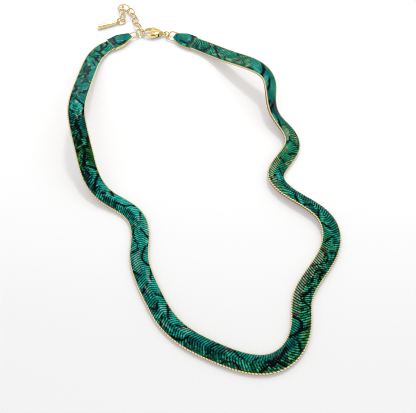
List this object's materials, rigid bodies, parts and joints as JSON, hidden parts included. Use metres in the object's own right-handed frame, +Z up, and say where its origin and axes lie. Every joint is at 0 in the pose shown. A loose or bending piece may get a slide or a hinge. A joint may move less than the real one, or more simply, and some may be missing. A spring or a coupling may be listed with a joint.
{
  "type": "snake chain necklace",
  "caption": "Flat snake-chain necklace printed with a green snakeskin pattern, with gold and enamel end caps, a lobster clasp and an extension chain, lying open.",
  "frame": {"origin": "centre of the lying necklace's outline, on the surface it rests on", "axes": "+X to the right and +Y towards the clasp as the necklace lies open seen from above, +Z up from the surface"},
  "size_m": [0.1034, 0.1997, 0.0169],
  "materials": {
    "snakeskin": "glossy printed snakeskin pattern over gold-plated chevron plates",
    "gold": "polished gold plating",
    "enamel": "glossy domed enamel printed with the same pattern"
  },
  "bodies": {
    "necklace": {"snake_chain": "snakeskin", "left_cap": "gold", "left_cap_enamel": "enamel", "right_cap": "gold", "right_cap_enamel": "enamel", "left_loop": "gold", "right_loop": "gold", "hook_ring": "gold", "clasp_ring": "gold", "clasp_body": "gold", "ext_link_1": "gold", "ext_link_2": "gold", "ext_link_3": "gold", "ext_link_4": "gold", "ext_link_5": "gold", "ext_link_6": "gold", "ext_link_7": "gold", "ext_link_8": "gold", "ext_link_9": "gold", "tag_ring": "gold", "bar_tag": "gold"},
    "lever": {"clasp_lever": "gold"}
  },
  "joints": [
    {"name": "lever_pivot", "type": "hinge", "parent": "necklace", "child": "lever", "pos_m": [-0.01981, 0.07327, 0.00155], "axis": [0, 0, -1], "range_deg": [0, 25], "stiffness_Nm_per_rad": 0.004, "springref_deg": -17.19}
  ]
}
